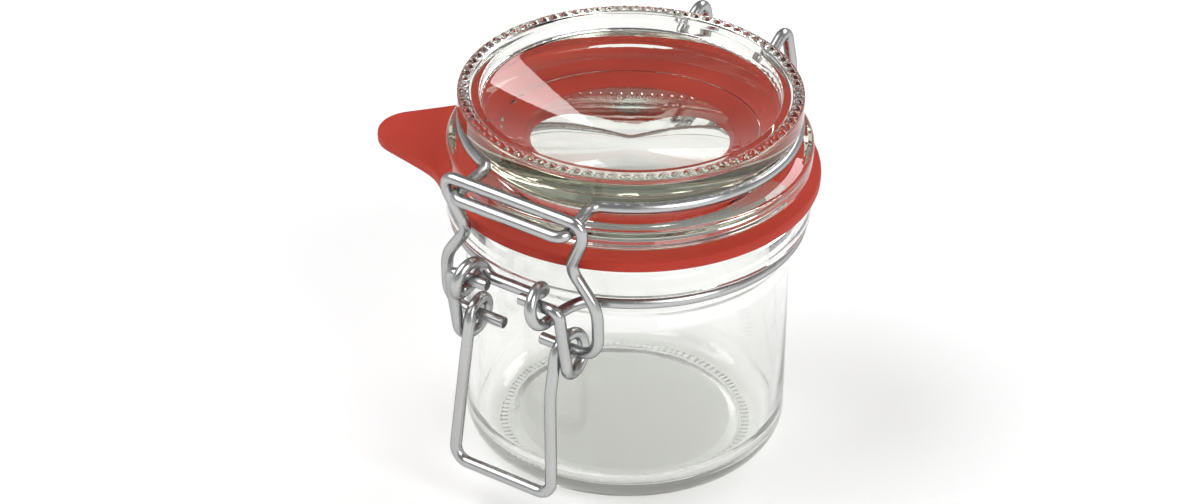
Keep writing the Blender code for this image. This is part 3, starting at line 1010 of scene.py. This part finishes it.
class CLIPJAR_OT_stage(Operator):
    """Lay the pale floor, hang the soft lights and place the camera"""

    bl_idname = "clip_jar.stage"
    bl_label = "Stage"

    def execute(self, context):
        s = context.scene.clip_jar.stage
        self.lay_floor(s)
        self.paint_sky(context)
        aim = (0, 0, 0.04)
        soft_light("key_light", (-0.75, -0.55, 1.25), aim, (1.5, 1.3), s.key_power)
        soft_light("right_light", (1.1, -0.35, 0.8), aim, (0.8, 1.1), s.fill_power)
        soft_light("back_light", (0.25, 1.1, 1.0), aim, (1.2, 0.5), s.fill_power)
        self.place_camera(context)
        context.scene.view_settings.view_transform = "Standard"
        return {"FINISHED"}

    @staticmethod
    def lay_floor(s):
        """Round floor just under the base: rings whose radius grows by a constant ratio."""
        rows, columns, level, thickness = 40, 96, -0.00015, np.array([0, 0, 0.01])
        ring = np.geomspace(0.02, s.floor_radius, rows)[:, None]
        a = np.linspace(0, TAU, columns, endpoint=False)[None]
        points = np.stack([ring * np.cos(a), ring * np.sin(a), np.full((rows, columns), level)], -1)
        centre = np.broadcast_to(np.array([0, 0, level]), (1, columns, 3))
        skirt = points[-1:] - thickness
        under = centre - thickness
        mesh = grid_mesh("studio_floor", np.concatenate([centre, points, skirt, under]), poles=True)
        mesh.materials.append(floor_material("studio_paper", tuple(s.floor_colour)))
        floor = bpy.data.objects.new("studio_floor", mesh)
        bpy.context.scene.collection.objects.link(floor)

    @staticmethod
    def paint_sky(context):
        """Even surroundings: pale at the horizon and below it, grey from half way up."""
        world = bpy.data.worlds.new("soft_room")
        context.scene.world = world
        world.use_nodes = True
        tree = world.node_tree
        tree.nodes.clear()
        link = tree.links.new
        coords = tree.nodes.new("ShaderNodeTexCoord")
        split = tree.nodes.new("ShaderNodeSeparateXYZ")
        ramp = tree.nodes.new("ShaderNodeValToRGB")
        background = tree.nodes.new("ShaderNodeBackground")
        out = tree.nodes.new("ShaderNodeOutputWorld")
        for element, position, grey in zip(ramp.color_ramp.elements, (0.0, 0.5), (0.72, 0.26)):
            element.position, element.color = position, (grey, grey, grey, 1)
        link(coords.outputs["Generated"], split.inputs[0])
        link(split.outputs[2], ramp.inputs[0])
        link(ramp.outputs[0], background.inputs["Color"])
        link(background.outputs[0], out.inputs["Surface"])

    @staticmethod
    def place_camera(context):
        """Camera 0.9 m from the jar's middle, turned a little off it to frame the jar as pictured.

        Two perpendicular directions a and b turn together into a cos t + b sin t, b cos t - a sin t.
        """
        def turned_pair(a, b, t):
            return a * math.cos(t) + b * math.sin(t), b * math.cos(t) - a * math.sin(t)

        distance, focal_px = 0.9, 4280.0
        azimuth, elevation, roll = (math.radians(v) for v in (33.5, 32.1, 1.2))
        target = Vector((0, 0, 0.0423))
        pan, tilt = math.atan(27.7 / focal_px), math.atan(-3.0 / focal_px)
        back = Vector((
            math.sin(azimuth) * math.cos(elevation), -math.cos(azimuth) * math.cos(elevation),
            math.sin(elevation)))
        right = Vector((math.cos(azimuth), math.sin(azimuth), 0))
        up = right.cross(-back)
        right, ahead = turned_pair(right, -back, pan)
        ahead, up = turned_pair(ahead, up, tilt)
        right, up = turned_pair(right, up, roll)
        data = bpy.data.cameras.new("camera")
        data.sensor_width = SENSOR_WIDTH
        data.lens = focal_px / IMAGE_WIDTH * SENSOR_WIDTH
        camera = bpy.data.objects.new("camera", data)
        context.scene.collection.objects.link(camera)
        matrix = Matrix((right, up, -ahead)).transposed().to_4x4()
        matrix.translation = target + back * distance
        camera.matrix_world = matrix
        context.scene.camera = camera


OPERATORS = (
    CLIPJAR_OT_stage, CLIPJAR_OT_jar_glass, CLIPJAR_OT_lid_glass, CLIPJAR_OT_gasket,
    CLIPJAR_OT_neck_wire, CLIPJAR_OT_lid_wire, CLIPJAR_OT_lever, CLIPJAR_OT_clamp)


class CLIPJAR_PT_panel(Panel):
    """Settings and makers of the jar's pieces"""

    bl_idname = "CLIPJAR_PT_panel"
    bl_label = "Clip Top Jar"
    bl_space_type = "VIEW_3D"
    bl_region_type = "UI"
    bl_category = "Clip Top Jar"

    def draw(self, context):
        settings = context.scene.clip_jar
        for part in ("jar", "lid", "gasket", "wires", "stage"):
            box = self.layout.box()
            box.label(text=part.title())
            group = getattr(settings, part)
            for key in group.__annotations__:
                box.prop(group, key)
        for operator in OPERATORS:
            self.layout.operator(operator.bl_idname)


CLASSES = (
    JarSettings, LidSettings, GasketSettings, WireSettings, StageSettings, ClipJarSettings, *OPERATORS,
    CLIPJAR_PT_panel)


def register():
    """Register the classes and hang the settings on the scene."""
    for cls in CLASSES:
        bpy.utils.register_class(cls)
    bpy.types.Scene.clip_jar = PointerProperty(type=ClipJarSettings)


def unregister():
    """Take the settings and classes away again."""
    del bpy.types.Scene.clip_jar
    for cls in reversed(CLASSES):
        bpy.utils.unregister_class(cls)


def main():
    """Make every piece in order."""
    register()
    for operator in OPERATORS:
        module, name = operator.bl_idname.split(".")
        getattr(getattr(bpy.ops, module), name)()


if __name__ == "__main__":
    main()
